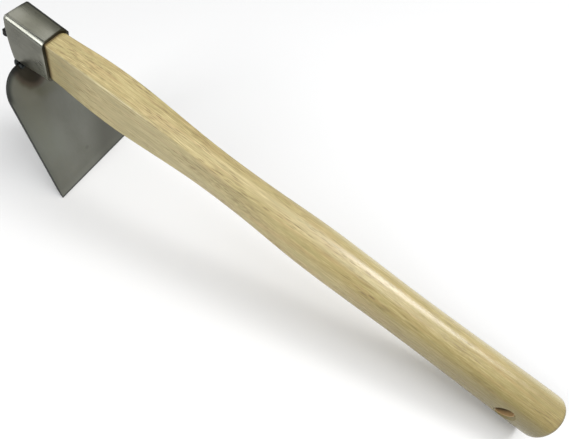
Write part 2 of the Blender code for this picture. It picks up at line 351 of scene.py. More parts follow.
def collar_height_at(x):
    return mix(COLLAR_HEAD_HEIGHT, COLLAR_MOUTH_HEIGHT, x / COLLAR_LENGTH)


def flow(stations, x, column):
    """Smooth curve through one column of the stations, level at the last two of them."""
    xs = [row[0] for row in stations]
    values = [row[column] for row in stations]
    slopes = [(values[1] - values[0]) / (xs[1] - xs[0])]
    for i in range(1, len(xs) - 2):
        slopes.append((values[i + 1] - values[i - 1]) / (xs[i + 1] - xs[i - 1]))
    slopes += [0.0, 0.0]
    i = max(k for k in range(len(xs) - 1) if xs[k] <= x)
    span = xs[i + 1] - xs[i]
    t = (x - xs[i]) / span
    head = values[i] * (1 + 2 * t) * (1 - t) ** 2 + slopes[i] * span * t * (1 - t) ** 2
    tail = values[i + 1] * t * t * (3 - 2 * t) - slopes[i + 1] * span * t * t * (1 - t)
    return head + tail


def section(x):
    """Half width, half height and axis height of the handle at x."""
    inset = COLLAR_WALL + FIT
    half_width = COLLAR_WIDTH / 2 - inset
    if x <= COLLAR_LENGTH:
        height = collar_height_at(x)
        return half_width, height / 2 - inset, -height / 2
    mouth = (COLLAR_LENGTH, half_width, COLLAR_MOUTH_HEIGHT / 2 - inset, -COLLAR_MOUTH_HEIGHT / 2)
    rows = (mouth,) + STATIONS
    return flow(rows, x, 1), flow(rows, x, 2), flow(rows, x, 3)


def past_mouth(x, z):
    """How far a place lies beyond the slanting plane of the collar's mouth."""
    return x + z * MOUTH_SLANT - (COLLAR_LENGTH - MOUTH_TOP_SETBACK)


# The wooden handle

def scale_ring(x, half_width, half_height, axis):
    """Scale the selected ring to exact half sizes."""
    spots = [vert.co for vert in editing().verts if vert.select]
    wide = max(abs(spot.y) for spot in spots)
    high = max(abs(spot.z - axis) for spot in spots)
    resize((1.0, half_width / wide, half_height / high), (x, 0.0, axis))


def draw_ring(x_from, x, inset=0.0, rounding=0.0):
    """Extrude the selected ring from x_from to x and give it the handle's section there."""
    axis_from = section(min(x_from, HANDLE_LENGTH))[2]
    half_width, half_height, axis = section(min(x, HANDLE_LENGTH))
    draw_out(x=x - x_from, z=axis - axis_from)
    if rounding > 0:
        scale_ring(x, BUTT_RADIUS, BUTT_RADIUS, axis)
        bpy.ops.transform.tosphere(value=rounding, center_override=(x, 0.0, axis))
    scale_ring(x, half_width - inset, half_height - inset, axis)


def start_head_ring():
    """The open ring at the handle's head end, with small round corners and evenly cut sides."""
    deselect_objects()
    half_width, half_height, axis = section(BLANK_START)
    bpy.ops.mesh.primitive_plane_add(
        size=1, location=(BLANK_START, 0.0, axis), rotation=(0.0, math.pi / 2, 0.0))
    obj = start("handle_wood", (2 * half_height, 2 * half_width, 1.0))
    choose_all("VERT")
    bpy.ops.mesh.bevel(offset=WOOD_CORNER, segments=WOOD_CORNER_STEPS, affect="VERTICES")
    choose_all("FACE")
    bpy.ops.mesh.delete(type="ONLY_FACE")
    choose("EDGE", lambda edge: edge.calc_length() > 4 * WOOD_CORNER)
    bpy.ops.mesh.subdivide(number_cuts=WOOD_SIDE_CUTS)
    choose_all("EDGE")
    return obj


def draw_length():
    """Draw the ring out ring by ring, from square to round, and return where it stops."""
    end = HANDLE_LENGTH - BUTT_ROUNDING
    count = round((end - BLANK_START) / RING_SPACING)
    x, roundness = BLANK_START, 0.0
    for i in range(1, count + 1):
        goal = mix(BLANK_START, end, i / count)
        wanted = ease(goal, ROUNDING_STARTS_AT, ROUNDING_ENDS_AT)
        rounding = 0.0 if wanted <= roundness else 1.0 - (1.0 - wanted) / (1.0 - roundness)
        draw_ring(x, goal, rounding=rounding)
        x, roundness = goal, wanted
    return x


def round_butt(x):
    """Turn the last rings in along the butt's rounded edge and close the end."""
    for i in range(1, BUTT_ROUNDING_STEPS + 1):
        turn = math.pi / 2 * i / BUTT_ROUNDING_STEPS
        goal = HANDLE_LENGTH - BUTT_ROUNDING + BUTT_ROUNDING * math.sin(turn)
        draw_ring(x, goal, inset=BUTT_ROUNDING * (1 - math.cos(turn)))
        x = goal
    bpy.ops.mesh.edge_face_add()
    bpy.ops.mesh.inset(thickness=BUTT_INSET)


def trim_head(obj):
    """Saw the handle's head end off along the slanting plane, a little inside the collar."""
    edit(obj)
    choose_all("FACE")
    slant = Vector((COLLAR_HEAD_HEIGHT, 0.0, HEAD_TOP_LEAD + HEAD_BOTTOM_SETBACK)).normalized()
    bpy.ops.mesh.bisect(
        plane_co=(HEAD_RECESS - HEAD_TOP_LEAD, 0.0, 0.0), plane_no=slant,
        use_fill=True, clear_inner=True)
    finish_editing(obj)


def mark_corners(obj):
    """Record on each point how close it lies to a top corner of the handle, 1 at the corner."""
    closeness = obj.data.attributes.new("top_corner", "FLOAT", "POINT")
    for vert, mark in zip(obj.data.vertices, closeness.data):
        half_width, half_height, axis = section(min(vert.co.x, HANDLE_LENGTH))
        mark.value = min(abs(vert.co.y) / half_width, (vert.co.z - axis) / half_height)


def make_hole_cutter():
    """A rod for the hanging hole, flared at both ends to ease the hole's rims."""
    deselect_objects()
    middle = (HOLE_X, 0.0, GRIP_AXIS)
    bpy.ops.mesh.primitive_cylinder_add(
        vertices=HOLE_SIDES, radius=HOLE_RADIUS, depth=2 * (BUTT_RADIUS - 2 * HOLE_FLARE),
        location=middle, rotation=(math.pi / 2, 0.0, 0.0))
    cutter = start("hole_cutter")
    reach = 4 * HOLE_FLARE
    flare = (HOLE_RADIUS + reach) / HOLE_RADIUS
    for side in (-1, 1):
        choose("FACE", lambda face: face.normal.y * side > MOSTLY)
        draw_out(y=side * reach)
        resize((flare, 1.0, flare), middle)
    finish_editing(cutter)
    return cutter


def make_handle():
    obj = start_head_ring()
    round_butt(draw_length())
    finish_editing(obj)
    smooth_over(obj, 1)
    trim_head(obj)
    carve(obj, make_hole_cutter())
    carve(obj, make_wedge("kerf", COLLAR_WIDTH / 2, FIT))
    mark_corners(obj)
    return obj


# The wedge, and the kerf that it sits in

def make_wedge(name, half_width, growth=0.0):
    """A plain wedge, or with growth the room that it needs."""
    head_plane = mix(-HEAD_TOP_LEAD, HEAD_BOTTOM_SETBACK, -WEDGE_HEIGHT / COLLAR_HEAD_HEIGHT)
    head_x = head_plane - WEDGE_STANDS_OUT
    tip_x = head_x + WEDGE_LENGTH + growth
    half = WEDGE_HEAD_THICKNESS / 2 + growth
    obj = add_box(name, (head_x, -half_width, WEDGE_HEIGHT - half),
                  (tip_x, half_width, WEDGE_HEIGHT + half))
    choose("VERT", lambda vert: vert.co.x > (head_x + tip_x) / 2)
    resize((1.0, 1.0, (WEDGE_TIP_THICKNESS / 2 + growth) / half), (tip_x, 0.0, WEDGE_HEIGHT))
    finish_editing(obj)
    return obj


def make_iron_wedge():
    """The wedge itself, forged and with a hammered head."""
    obj = make_wedge("iron_wedge", WEDGE_HALF_WIDTH)
    edit(obj)
    cut_edges(LENGTHWAYS, WEDGE_CUTS_ALONG)
    cut_edges(ACROSS, WEDGE_CUTS_ACROSS)
    head_x = min(vert.co.x for vert in editing().verts)
    for reach, wide, thick in STRUCK_HEAD:
        choose("VERT", lambda vert: vert.co.x < head_x + reach)
        resize((1.0, wide, thick), (head_x, 0.0, WEDGE_HEIGHT))
    finish_editing(obj)
    round_edges(obj, WEDGE_EDGE_WEAR, 2)
    smooth_over(obj, 1)
    mark_surface(obj, "hammer_marks", HAMMER_MARK_SIZE, HAMMER_MARK_DEPTH, HAMMER_MARK_LEVEL)
    return obj


# The collar

def slant_ends():
    """Taper the box towards its mouth, slant both of its ends and skew them."""
    middle_x = COLLAR_LENGTH / 2
    middle_z = -COLLAR_HEAD_HEIGHT / 2
    rise = COLLAR_HEAD_HEIGHT - COLLAR_MOUTH_HEIGHT
    push(lambda spot: spot.x > middle_x and spot.z < middle_z, z=rise)
    push(lambda spot: spot.x > middle_x and spot.z > middle_z, x=-MOUTH_TOP_SETBACK)
    push(lambda spot: spot.x > middle_x and spot.z > middle_z and spot.y < 0, x=-MOUTH_SKEW)
    push(lambda spot: spot.x < middle_x and spot.z > middle_z, x=-HEAD_TOP_LEAD)
    push(lambda spot: spot.x < middle_x and spot.z < middle_z,
         x=HEAD_BOTTOM_SETBACK, z=rise * HEAD_BOTTOM_SETBACK / COLLAR_LENGTH)
    for side in (-1, 1):
        push(lambda spot: spot.x < middle_x and spot.y * side > 0, x=side * HEAD_SKEW)


def open_near_bend():
    """Make the near top bend tighter at the head and wider at the mouth."""
    for at_mouth, bend in ((False, HEAD_BEND), (True, MOUTH_BEND)):
        choose("VERT", lambda vert: vert.co.y < COLLAR_BEND - COLLAR_WIDTH / 2 + HAIR
               and vert.co.z > -COLLAR_BEND - HAIR
               and (vert.co.x > COLLAR_LENGTH / 2) == at_mouth)
        share = bend / COLLAR_BEND
        resize((1.0, share, share), (0.0, -COLLAR_WIDTH / 2, 0.0))


def crown_top():
    """Bow the top face down towards its two bends, as the press leaves it."""
    columns = {round(abs(vert.co.y), 6) for vert in editing().verts if vert.co.z > -HAIR}
    edge_y = max(columns)
    for column in columns:
        push(lambda spot: spot.z > -HAIR and abs(abs(spot.y) - column) < SAME_PLACE,
             z=-COLLAR_CROWN * (column / edge_y) ** 2)
    push(lambda spot: -HAIR - MOUTH_BEND < spot.z < -HAIR - COLLAR_CROWN
         and abs(spot.y) > edge_y - SAME_PLACE, z=-COLLAR_CROWN)


def bow_head_edges():
    """Bow the head edge of both sides outwards, most at half height."""
    def on_edge(spot):
        return spot.x < COLLAR_LENGTH / 2 and abs(spot.y) > COLLAR_WIDTH / 2 - HAIR

    rows = {round(vert.co.z, 6) for vert in editing().verts if on_edge(vert.co)}
    low, high = min(rows), max(rows)
    for row in rows:
        share = (row - low) / (high - low)
        push(lambda spot: on_edge(spot) and abs(spot.z - row) < 2 * SAME_PLACE,
             x=-HEAD_EDGE_BOW * 4.0 * share * (1.0 - share))


def draw_out_far_corner():
    """Let the mouth's far top corner stand on along the handle, less and less down the side."""
    def on_far_mouth(vert):
        on_rim = any(edge.is_boundary for edge in vert.link_edges)
        return on_rim and vert.co.x > COLLAR_LENGTH / 2 and vert.co.y > FAR_CORNER_FROM

    for corner in [vert.co.copy() for vert in editing().verts if on_far_mouth(vert)]:
        across = ease(corner.y, FAR_CORNER_FROM, FAR_CORNER_FULL)
        up = max(1.0 + corner.z / COLLAR_MOUTH_HEIGHT, 0.0)
        push(lambda spot: (spot - corner).length < SAME_PLACE,
             x=FAR_CORNER_STANDS_ON * across * up)


def make_collar():
    obj = add_box("collar_band", (0.0, -COLLAR_WIDTH / 2, -COLLAR_HEAD_HEIGHT),
                  (COLLAR_LENGTH, COLLAR_WIDTH / 2, 0.0))
    slant_ends()
    choose("EDGE", lambda edge: runs(edge, LENGTHWAYS))
    bpy.ops.mesh.bevel(offset=COLLAR_BEND, segments=COLLAR_BEND_STEPS, affect="EDGES")
    choose("FACE", lambda face: abs(face.normal.x) > MOSTLY)
    bpy.ops.mesh.delete(type="FACE")
    open_near_bend()
    choose("EDGE", lambda edge: edge.calc_length() > COLLAR_BEND and not runs(edge, LENGTHWAYS))
    bpy.ops.mesh.subdivide(number_cuts=COLLAR_CUTS_UP)
    crown_top()
    bow_head_edges()
    cut_edges(LENGTHWAYS, COLLAR_CUTS_ALONG)
    draw_out_far_corner()
    finish_editing(obj)
    mark_surface(
        obj, "bending_marks", BENDING_MARK_SIZE, BENDING_MARK_DEPTH, BENDING_MARK_LEVEL)
    modify(obj, "SOLIDIFY", thickness=COLLAR_WALL, offset=-1.0, use_even_offset=True)
    round_edges(obj, SHEARED_EDGE_RADIUS, 3, sharper_than=50)
    return obj


# The blade, drawn flat with X down the blade, Y across and Z towards the grip

def side_lean():
    """Lean of the blade's straight side, which runs from the edge's corner to the shoulder."""
    across = EDGE_WIDTH / 2 - NECK_FLAT_WIDTH / 2
    down = BLADE_LENGTH - SHOULDER_RADIUS
    distance = math.hypot(across, down)
    return math.atan2(across, down) - math.asin(SHOULDER_RADIUS / distance)


def make_blade():
    deselect_objects()
    bpy.ops.mesh.primitive_plane_add(size=1, location=(BLADE_LENGTH / 2, 0.0, 0.0))
    obj = start("blade_plate", (BLADE_LENGTH, EDGE_WIDTH, 1.0))
    top_half = EDGE_WIDTH / 2 - BLADE_LENGTH * math.tan(side_lean())
    choose("VERT", lambda vert: vert.co.x < BLADE_LENGTH / 2)
    resize((1.0, 2 * top_half / EDGE_WIDTH, 1.0), (0.0, 0.0, 0.0))
    bpy.ops.mesh.bevel(
        offset=top_half - NECK_FLAT_WIDTH / 2, segments=SHOULDER_STEPS, affect="VERTICES")
    choose_all("FACE")
    draw_out(z=BLADE_THICKNESS)
    choose_all("FACE")
    bpy.ops.mesh.bisect(
        plane_co=(BLADE_LENGTH - BEVEL_LENGTH, 0.0, 0.0), plane_no=(1.0, 0.0, 0.0))
    push(lambda spot: spot.x > BLADE_LENGTH - HAIR and spot.z < BLADE_THICKNESS / 2,
         z=BLADE_THICKNESS - EDGE_THICKNESS)
    finish_editing(obj)
    round_edges(obj, BLADE_EDGE_WEAR, 2)
    obj.rotation_euler = (0.0, math.pi / 2 - BLADE_LEAN, 0.0)
    obj.location = (BLADE_TOP[0], 0.0, BLADE_TOP[1])
    settle(obj)
    return obj


# The weld beads

def make_bead(name, axis, reach):
    """A rippled bead along Y, with its axis and its half sizes given in the XZ plane."""
    deselect_objects()
    bpy.ops.mesh.primitive_circle_add(
        vertices=BEAD_SIDES, radius=1.0, fill_type="NGON",
        location=(axis[0], -BEAD_HALF_LENGTH, axis[1]), rotation=(math.pi / 2, 0.0, 0.0))
    obj = start(name, (reach[0] * BEAD_START_SIZE, reach[1] * BEAD_START_SIZE, 1.0))
    choose_all("FACE")
    pitch = 2 * BEAD_HALF_LENGTH / BEAD_RIPPLES
    y, size = -BEAD_HALF_LENGTH, BEAD_START_SIZE
    for ripple in range(BEAD_RIPPLES):
        swell = 1.0 + BEAD_UNEVENNESS * math.sin(BEAD_WAVE * ripple + 1.0)
        rings = [(share, wanted * swell) for share, wanted in BEAD_SWELLS]
        for share, wanted in [BEAD_GROOVE] + rings:
            draw_out(y=pitch * share)
            y += pitch * share
            resize((wanted / size, 1.0, wanted / size), (axis[0], y, axis[1]))
            size = wanted
    share, growth = BEAD_TIP
    draw_out(y=pitch * share)
    resize((growth, 1.0, growth), (axis[0], y + pitch * share, axis[1]))
    finish_editing(obj)
    smooth_over(obj, 2)
    return obj


# Finishes: node maths written as expressions

class Amount:
    """A socket that can be added, subtracted and multiplied; each step adds a Math node."""

    def __init__(self, finish, socket):
        self.finish = finish
        self.socket = socket

    def __add__(self, other):
        return self.finish.maths("ADD", self, other)

    __radd__ = __add__

    def __sub__(self, other):
        return self.finish.maths("SUBTRACT", self, other)

    def __rsub__(self, other):
        return self.finish.maths("SUBTRACT", other, self)

    def __mul__(self, other):
        return self.finish.maths("MULTIPLY", self, other)

    __rmul__ = __mul__


SOCKETS = {
    "metallic": "Metallic",
    "roughness": "Roughness",
    "specular": "Specular IOR Level",
}


class Finish:
    """A material being built on a Principled shader, and the colour painted on it so far."""

    def __init__(self, name, **evenly):
        self.material = bpy.data.materials.new(name)
        self.material.use_nodes = True
        self.tree = self.material.node_tree
        self.shader = self.tree.nodes["Principled BSDF"]
        self.colour = None
        for quality, value in evenly.items():
            self.set(SOCKETS[quality], value)

    def feed(self, socket, value):
        if isinstance(value, Amount):
            self.tree.links.new(value.socket, socket)
        else:
            socket.default_value = value

    def set(self, label, value):
        self.feed(self.shader.inputs[label], value)

    def node(self, kind, settings=None, sockets=None, output=0):
        node = self.tree.nodes.new(kind)
        for name, value in (settings or {}).items():
            setattr(node, name, value)
        for place, value in (sockets or {}).items():
            self.feed(node.inputs[place], value)
        return Amount(self, node.outputs[output])

    def maths(self, operation, *values):
        return self.node("ShaderNodeMath", {"operation": operation}, dict(enumerate(values)))

    def vector_maths(self, operation, first, second):
        return self.node(
            "ShaderNodeVectorMath", {"operation": operation}, {0: first, 1: second})

    def stronger(self, first, second):
        return self.maths("MAXIMUM", first, second)

    def unsigned(self, value):
        return self.maths("ABSOLUTE", value)

    def distance(self, a, b):
        return self.maths("SQRT", a * a + b * b)

    def own_place(self):
        """Place on the piece in the hoe's own frame."""
        spot = self.node("ShaderNodeTexCoord", output=3)
        return self.node(
            "ShaderNodeMapping", {"vector_type": "TEXTURE"},
            {"Vector": spot, "Location": REST_SHIFT, "Rotation": (0.0, REST_TILT, 0.0)})

    def parts(self, vector):
        split = self.node("ShaderNodeSeparateXYZ", None, {0: vector})
        return [Amount(self, output) for output in split.socket.node.outputs]

    def noise(self, place, waves, detail, roughness=0.5):
        """Cloudy pattern with this many waves a metre along X, Y and Z."""
        return self.node(
            "ShaderNodeTexNoise", None,
            {"Vector": self.vector_maths("MULTIPLY", place, waves), "Scale": 1.0,
             "Detail": detail, "Roughness": roughness})

    def smooth(self, value, low, high, start=0.0, end=1.0):
        """Go smoothly from start to end while value goes from low to high."""
        return self.node(
            "ShaderNodeMapRange", {"interpolation_type": "SMOOTHSTEP"},
            {"Value": value, "From Min": low, "From Max": high, "To Min": start, "To Max": end})

    def blend(self, share, first, second):
        """Mix two colours."""
        def four(colour):
            return colour if isinstance(colour, Amount) else (*colour, 1.0)
        return self.node(
            "ShaderNodeMix", {"data_type": "RGBA"},
            {0: share, 6: four(first), 7: four(second)}, output=2)

    def paint(self, share, colour):
        """Lay a colour over what is painted already, as strongly as share says."""
        self.colour = self.blend(share, self.colour, colour)

    def bump(self, height, distance, strength):
        return self.node(
            "ShaderNodeBump", None,
            {"Height": height, "Distance": distance, "Strength": strength})

    def done(self, roughness, relief):
        self.set("Base Color", self.colour)
        self.set("Roughness", roughness)
        self.set("Normal", relief)
        return self.material


# In the tables below a WAVES row counts a pattern's waves in a metre along X, Y and Z. Any other
# pair or row of four says where a mark begins and where it is full, then how strong it is at
# these two places, if that is not 0 and 1. Colours are linear red, green and blue.

# The wood's figure
DRIFT_WAVES = (9.0, 30.0, 30.0)
DRIFT_ACROSS = 0.004
DRIFT_UP = 0.003
BLOTCH_WAVES = (20.0, 80.0, 80.0)
RING_WAVES = (10.0, 420.0, 260.0)
STREAK_WAVES = (78.0, 1800.0, 1600.0)
TINT_WAVES = (24.0, 420.0, 330.0)
FIBRE_WAVES = (130.0, 4200.0, 4200.0)
LINE_WAVES = (34.0, 1250.0, 1100.0)
STREAK_SHARE = (0.240, 0.100, 1.25, 1.7)
FIBRE_SHARE = 0.9
RING_SHARE = 0.6
BLOTCH_SHARE = 0.4
MIDDLE_TONE = 0.53
LOWER_TONES = (0.05, 0.50)
UPPER_TONES = (0.50, 0.95)
WOOD_DARK = (0.270, 0.195, 0.080)
WOOD_MIDDLE = (0.455, 0.363, 0.152)
WOOD_LIGHT = (0.625, 0.522, 0.250)
REDDISH_PARTS = (0.50, 0.68, 0.0, 0.38)
GREENISH_PARTS = (0.48, 0.32, 0.0, 0.30)
WOOD_REDDISH = (0.530, 0.365, 0.168)
WOOD_GREENISH = (0.430, 0.385, 0.165)

# Its flat sides, with painted shade, darker still near the collar
SIDE_FACES = (0.0075, 0.0092)
SIDES_UNTIL = (0.230, 0.120)
SIDE_SHADE_SHARE = 0.35
WOOD_SIDE_SHADE = (0.430, 0.388, 0.225)
SIDES_DARKER_NEAR_COLLAR = (0.062, 0.034)
DARKER_ALONG_LINES = (0.58, 0.46, 0.30, 1.0)
WOOD_SIDE_DARKER = (0.190, 0.168, 0.076)

# Lines, pores and dashes; pores and dashes crowd together in places
LINE_SHARE = (0.240, 0.150, 0.05, 0.24)
DARK_LINES = (0.57, 0.63)
PALE_LINES = (0.43, 0.37)
LINE_DARK = (0.275, 0.215, 0.080)
LINE_PALE = (0.700, 0.600, 0.300)
CROWD_WAVES = (26.0, 210.0, 170.0)
CROWDS = (0.46, 0.66)
PORE_WAVES = (120.0, 1300.0, 1300.0)
PORE_CORES = (0.44, 0.20)
PORES_APART = 0.12
PORES_CROWDED = 1.0
PORE_SHARE = 0.75
PORE_DARK = (0.185, 0.115, 0.045)
DASH_WAVES = (62.0, 1700.0, 1550.0)
DASH_CORES = (0.60, 0.68)
DASHES_APART = 0.12
DASHES_CROWDED = 0.58
DASH_DARK = (0.205, 0.160, 0.052)

# Painted light and shade on the wood: a highlight along the top corners, shade on the low side,
# towards the butt and in a band along the grip, and light on the grip's far side
CORNER_FACES = (0.905, 0.965)
CORNERS_UNTIL = (0.165, 0.105)
CORNER_BREAKS = (0.36, 0.56)
CORNER_SHARE = (0.045, 0.095, 0.06, 0.50)
WOOD_CORNER_HIGHLIGHT = (0.860, 0.780, 0.480)
LOW_SHADE_ALONG = (0.190, 0.390)
LOW_SHADE_DOWN = (0.0012, -0.0130)
LOW_SHADE_SHARE = (0.350, 0.400, 0.80, 1.0)
BUTT_SHADE = (0.335, 0.395, 0.0, 0.27)
WOOD_LOW_SHADE = (0.195, 0.155, 0.052)
GRIP_SHADE_ALONG = (0.300, 0.370)
GRIP_SHADE_FROM_TOP = (0.0002, -0.0050)
GRIP_SHADE_FROM_BELOW = (-0.0160, -0.0090)
GRIP_SHADE_SHARE = 0.24
WOOD_GRIP_SHADE = (0.195, 0.150, 0.030)
FAR_LIGHT_ALONG = (0.190, 0.250)
FAR_LIGHT_FROM_MIDDLE = (0.0005, 0.0070)
FAR_LIGHT_FROM_FAR_RIM = (0.0148, 0.0110)
FAR_LIGHT_SHARE = 0.34
WOOD_FAR_LIGHT = (0.690, 0.600, 0.320)

# The dark line at the collar's mouth, the hanging hole with painted shade inside it, and the end
# grain of the butt
MOUTH_LINE_WIDTH = (-0.0030, -0.0050, 0.0007, 0.0031)
MOUTH_LINE_RAGGED = 0.001
MOUTH_LINE_SHARE = 0.8
MOUTH_LINE_DARK = (0.150, 0.095, 0.038)
BORE_RIM = (HOLE_RADIUS + 0.0003, HOLE_RADIUS + 0.0001)
BORE_SHADE_DEPTH = (0.0140, 0.0106)
BORE_SLANT = 0.35
BORE_SHARE = 0.9
BORE_PALE = (0.540, 0.345, 0.160)
BORE_SHADE = (0.085, 0.060, 0.030)
BUTT_GRAIN = (HANDLE_LENGTH - BUTT_ROUNDING - 0.0010, HANDLE_LENGTH - 0.0006, 0.0, 0.75)
END_GRAIN = (0.200, 0.165, 0.092)

# The lacquer, glossier on the grip, and what shows through it
LACQUER_ROUGHNESS = (0.195, 0.265, 0.46, 0.26)
PORE_DULLNESS = 0.25
FIBRE_DULLNESS = 0.16
STREAK_DULLNESS = 0.12
BORE_DULLNESS = 0.25
FIBRE_RELIEF = 0.5
STREAK_RELIEF = 0.8
PORE_RELIEF = 0.7
WOOD_RELIEF_DEPTH = 0.00010
WOOD_RELIEF_STRENGTH = 0.35


def follow_grain(wood, place):
    """Let the grain wander a little across and up the handle."""
    drift = wood.noise(place, DRIFT_WAVES, 1.0) - 0.5
    wander = wood.node(
        "ShaderNodeCombineXYZ", None, {0: 0.0, 1: drift * DRIFT_ACROSS, 2: drift * DRIFT_UP})
    return wood.vector_maths("ADD", place, wander)


def paint_figure(wood, place, grain, x, streak, fibre):
    """The wood's tone, from its rings, streaks, fibres and blotches, and its two tints."""
    blotch = wood.noise(place, BLOTCH_WAVES, 2.0)
    ring = wood.noise(grain, RING_WAVES, 2.0)
    tone = ((streak - 0.5) * wood.smooth(x, *STREAK_SHARE) + (fibre - 0.5) * FIBRE_SHARE
            + (ring - 0.5) * RING_SHARE + (blotch - 0.5) * BLOTCH_SHARE + MIDDLE_TONE)
    wood.colour = wood.blend(wood.smooth(tone, *LOWER_TONES), WOOD_DARK, WOOD_MIDDLE)
    wood.paint(wood.smooth(tone, *UPPER_TONES), WOOD_LIGHT)
    tint = wood.noise(grain, TINT_WAVES, 2.0, 0.6)
    wood.paint(wood.smooth(tint, *REDDISH_PARTS), WOOD_REDDISH)
    wood.paint(wood.smooth(tint, *GREENISH_PARTS), WOOD_GREENISH)


def paint_sides_and_lines(wood, grain, x, y):
    """Painted shade on the flat sides, darker still near the collar, and the fine lines of the
    grain.
    """
    line = wood.noise(grain, LINE_WAVES, 1.0)
    side = wood.smooth(wood.unsigned(y), *SIDE_FACES) * wood.smooth(x, *SIDES_UNTIL)
    # painted shade: a duller tone on both flat sides
    wood.paint(side * SIDE_SHADE_SHARE, WOOD_SIDE_SHADE)
    # darker still along the grain lines on the sides near the collar
    near_collar_darkening = wood.smooth(x, *SIDES_DARKER_NEAR_COLLAR) * wood.smooth(line, *DARKER_ALONG_LINES)
    wood.paint(side * near_collar_darkening, WOOD_SIDE_DARKER)
    share = wood.smooth(x, *LINE_SHARE)
    wood.paint(wood.smooth(line, *DARK_LINES) * share, LINE_DARK)
    wood.paint(wood.smooth(line, *PALE_LINES) * share, LINE_PALE)


def paint_pores(wood, grain):
    """Short dark pores and longer dashes. Returns where the pores are."""
    crowd = wood.smooth(wood.noise(grain, CROWD_WAVES, 2.0), *CROWDS)
    cells = wood.node(
        "ShaderNodeTexVoronoi", None,
        {"Vector": wood.vector_maths("MULTIPLY", grain, PORE_WAVES), "Scale": 1.0})
    pores = wood.smooth(cells, *PORE_CORES) * mix(PORES_APART, PORES_CROWDED, crowd)
    wood.paint(pores * PORE_SHARE, PORE_DARK)
    dashes = wood.smooth(wood.noise(grain, DASH_WAVES, 1.0), *DASH_CORES)
    wood.paint(dashes * mix(DASHES_APART, DASHES_CROWDED, crowd), DASH_DARK)
    return pores


def paint_light_and_shade(wood, x, y, z, streak):
    """Painted light and shade: a highlight along the top corners, shade on the low side, towards
    the butt and in a band along the grip, and light on the far side.
    """
    corner = wood.node("ShaderNodeAttribute", {"attribute_name": "top_corner"}, output=2)
    # painted highlight along the top corners of the squared part of the handle
    bare = wood.smooth(corner, *CORNER_FACES) * wood.smooth(x, *CORNERS_UNTIL)
    bare = bare * wood.smooth(streak, *CORNER_BREAKS) * wood.smooth(x, *CORNER_SHARE)
    wood.paint(bare, WOOD_CORNER_HIGHLIGHT)
    # painted shade on the grip's low side and, all round, towards the butt
    low_side_shade = wood.smooth(x, *LOW_SHADE_ALONG) * wood.smooth(z, *LOW_SHADE_DOWN)
    low_side_shade = low_side_shade * wood.smooth(x, *LOW_SHADE_SHARE)
    wood.paint(wood.stronger(low_side_shade, wood.smooth(x, *BUTT_SHADE)), WOOD_LOW_SHADE)
    # painted shade in a band along the grip's upper half
    grip_shade = wood.smooth(z, *GRIP_SHADE_FROM_TOP) * wood.smooth(z, *GRIP_SHADE_FROM_BELOW)
    wood.paint(grip_shade * wood.smooth(x, *GRIP_SHADE_ALONG) * GRIP_SHADE_SHARE, WOOD_GRIP_SHADE)
    # painted light on the grip's far side
    pale = wood.smooth(y, *FAR_LIGHT_FROM_MIDDLE) * wood.smooth(y, *FAR_LIGHT_FROM_FAR_RIM)
    wood.paint(pale * wood.smooth(x, *FAR_LIGHT_ALONG) * FAR_LIGHT_SHARE, WOOD_FAR_LIGHT)


def paint_mouth_line(wood, x, z, streak):
    """The dark, ragged line where the wood meets the collar's mouth."""
    beyond = past_mouth(x, z) + (streak - 0.5) * MOUTH_LINE_RAGGED
    line = wood.smooth(beyond, wood.smooth(z, *MOUTH_LINE_WIDTH), 0.0)
    wood.paint(line * MOUTH_LINE_SHARE, MOUTH_LINE_DARK)


def paint_bore(wood, x, y, z):
    """The hanging hole's bare wall, with painted shade deeper inside. Returns where the wall is."""
    from_hole = x - HOLE_X
    bore = wood.smooth(wood.distance(from_hole, z - GRIP_AXIS), *BORE_RIM)
    # painted shade, deeper into the hole and towards its head side
    inside = wood.smooth(wood.unsigned(y) + from_hole * BORE_SLANT, *BORE_SHADE_DEPTH)
    wood.paint(bore * BORE_SHARE, wood.blend(inside, BORE_PALE, BORE_SHADE))
    return bore


def lacquered_wood():
    """Pale hardwood under lacquer: figure, pores, painted light and shade, and the bare wood at its
    cuts.
    """
    wood = Finish("lacquered_wood", specular=0.8)
    place = wood.own_place()
    x, y, z = wood.parts(place)
    grain = follow_grain(wood, place)
    streak = wood.noise(grain, STREAK_WAVES, 2.0, 0.6)
    fibre = wood.noise(grain, FIBRE_WAVES, 2.0, 0.6)
    paint_figure(wood, place, grain, x, streak, fibre)
    paint_sides_and_lines(wood, grain, x, y)
    pores = paint_pores(wood, grain)
    paint_light_and_shade(wood, x, y, z, streak)
    paint_mouth_line(wood, x, z, streak)
    bore = paint_bore(wood, x, y, z)
    wood.paint(wood.smooth(x, *BUTT_GRAIN), END_GRAIN)
    dullness = (pores * PORE_DULLNESS + (fibre - 0.5) * FIBRE_DULLNESS
                + (streak - 0.5) * STREAK_DULLNESS + bore * BORE_DULLNESS)
    relief = fibre * FIBRE_RELIEF + streak * STREAK_RELIEF + (1.0 - pores) * PORE_RELIEF
    return wood.done(wood.smooth(x, *LACQUER_ROUGHNESS) + dullness,
                     wood.bump(relief, WOOD_RELIEF_DEPTH, WOOD_RELIEF_STRENGTH))


# Brushed steel, for the collar and the blade
BRUSHING_SHARE = 0.8
STEEL_TONES = (0.10, 0.90)
GRIT_WAVES = (2600.0, 2600.0, 2600.0)
GRIT_SHARE = 0.3
STEEL_RELIEF_DEPTH = 0.00003
STEEL_RELIEF_STRENGTH = 0.5

# The collar's steel
COLLAR_BRUSHING_WAVES = (60.0, 2200.0, 2200.0)
COLLAR_CLOUD_WAVES = (75.0, 75.0, 75.0)
COLLAR_PALE = (0.225, 0.223, 0.182)
COLLAR_DARK = (0.125, 0.125, 0.098)
